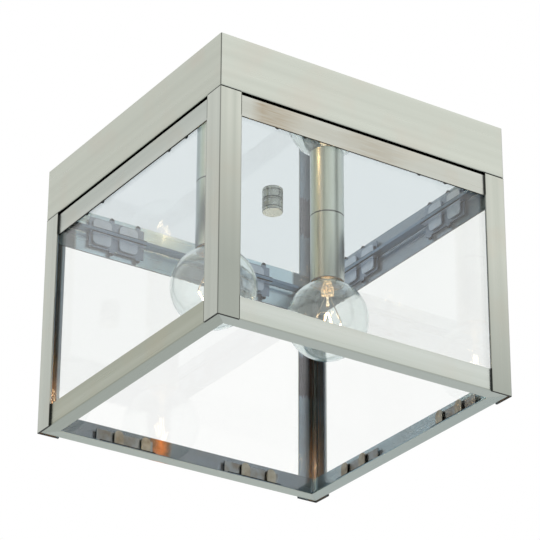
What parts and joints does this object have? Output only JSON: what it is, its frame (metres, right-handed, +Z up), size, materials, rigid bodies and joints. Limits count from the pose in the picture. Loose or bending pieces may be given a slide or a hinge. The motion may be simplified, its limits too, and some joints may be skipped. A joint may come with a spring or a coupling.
{
  "type": "outdoor ceiling light",
  "caption": "Square flush ceiling light: sheet metal canopy over an angle-strip cage with clear glass panes, mirror plate, lamp tubes with globe bulbs and a centre knob.",
  "frame": {"origin": "centre of the two crossbar slots, on the ceiling plane", "axes": "+Z up into the ceiling, -Y the front side, X along the line of the two lamps and the crossbar"},
  "size_m": [0.21, 0.21, 0.1848],
  "materials": {
    "brushed_nickel": "fine brushed nickel plate, warm pale grey",
    "mirror": "polished mirror",
    "pane_glass": "clear float glass",
    "clip_steel": "bare bright sheet steel",
    "zinc_plated_steel": "zinc plated, satin",
    "green_screw": "green dyed",
    "copper": "bare copper wire",
    "black_insulation": "extruded insulation",
    "white_insulation": "extruded insulation",
    "connector_plastic": "moulded",
    "phenolic": "moulded phenolic",
    "brass": "rolled sheet brass",
    "cap_metal": "bright rolled brass",
    "cap_glass": "black glass",
    "solder": "dull solder",
    "bulb_glass": "clear blown glass",
    "nickel_wire": "drawn wire",
    "filament": "coiled tungsten, lit"
  },
  "bodies": {
    "root": {"canopy_pan": "brushed_nickel", "mirror_plate": "mirror", "post_front_left": "brushed_nickel", "post_front_right": "brushed_nickel", "post_back_right": "brushed_nickel", "post_back_left": "brushed_nickel", "top_rail_front": "brushed_nickel", "bottom_rail_front": "brushed_nickel", "glass_pane_front": "pane_glass", "top_rail_right": "brushed_nickel", "bottom_rail_right": "brushed_nickel", "glass_pane_right": "pane_glass", "top_rail_back": "brushed_nickel", "bottom_rail_back": "brushed_nickel", "glass_pane_back": "pane_glass", "top_rail_left": "brushed_nickel", "bottom_rail_left": "brushed_nickel", "glass_pane_left": "pane_glass", "top_glass_clips": "clip_steel", "bottom_glass_clips": "clip_steel", "cage_studs": "zinc_plated_steel", "cage_nuts": "zinc_plated_steel", "crossbar": "zinc_plated_steel", "centre_rod": "zinc_plated_steel", "rod_nut": "zinc_plated_steel", "nipples": "zinc_plated_steel", "nipple_nuts": "zinc_plated_steel", "holder_rivets": "zinc_plated_steel", "ground_screws": "green_screw", "ground_wire": "copper", "black_leads": "black_insulation", "white_leads": "white_insulation", "wire_connectors": "connector_plastic", "lamp_tube_left": "brushed_nickel", "holder_strap_left": "zinc_plated_steel", "lampholder_left": "phenolic", "screw_shell_left": "brass", "centre_contact_left": "brass", "lamp_tube_right": "brushed_nickel", "holder_strap_right": "zinc_plated_steel", "lampholder_right": "phenolic", "screw_shell_right": "brass", "centre_contact_right": "brass"},
    "knob_carrier": {"knob_washer": "brushed_nickel"},
    "knob": {"knob": "brushed_nickel"},
    "bulb_left_thread": {"bulb_cap_left": "cap_metal"},
    "bulb_left": {"bulb_glass_left": "bulb_glass", "bulb_stem_left": "bulb_glass", "bulb_wires_left": "nickel_wire", "bulb_filament_left": "filament", "bulb_insulator_left": "cap_glass", "bulb_contact_left": "solder"},
    "bulb_right_thread": {"bulb_cap_right": "cap_metal"},
    "bulb_right": {"bulb_glass_right": "bulb_glass", "bulb_stem_right": "bulb_glass", "bulb_wires_right": "nickel_wire", "bulb_filament_right": "filament", "bulb_insulator_right": "cap_glass", "bulb_contact_right": "solder"}
  },
  "joints": [
    {"name": "knob_travel", "type": "slide", "parent": "root", "child": "knob_carrier", "axis": [0, 0, -1], "range_m": [0, 0.00635]},
    {"name": "knob_turn", "type": "hinge", "parent": "knob_carrier", "child": "knob", "pos_m": [0, 0, -0.04], "axis": [0, 0, -1], "range_deg": [0, 1805]},
    {"name": "bulb_left_travel", "type": "slide", "parent": "root", "child": "bulb_left_thread", "axis": [0, 0, -1], "range_m": [0, 0.0127]},
    {"name": "bulb_left_turn", "type": "hinge", "parent": "bulb_left_thread", "child": "bulb_left", "pos_m": [-0.042, 0, -0.0775], "axis": [0, 0, -1], "range_deg": [0, 1805]},
    {"name": "bulb_right_travel", "type": "slide", "parent": "root", "child": "bulb_right_thread", "axis": [0, 0, -1], "range_m": [0, 0.0127]},
    {"name": "bulb_right_turn", "type": "hinge", "parent": "bulb_right_thread", "child": "bulb_right", "pos_m": [0.042, 0, -0.0775], "axis": [0, 0, -1], "range_deg": [0, 1805]}
  ],
  "couplings": [
    {"joint": "knob_turn", "follows": "knob_travel", "rad_per_m": 4947.4},
    {"joint": "bulb_left_turn", "follows": "bulb_left_travel", "rad_per_m": 2473.7},
    {"joint": "bulb_right_turn", "follows": "bulb_right_travel", "rad_per_m": 2473.7}
  ]
}
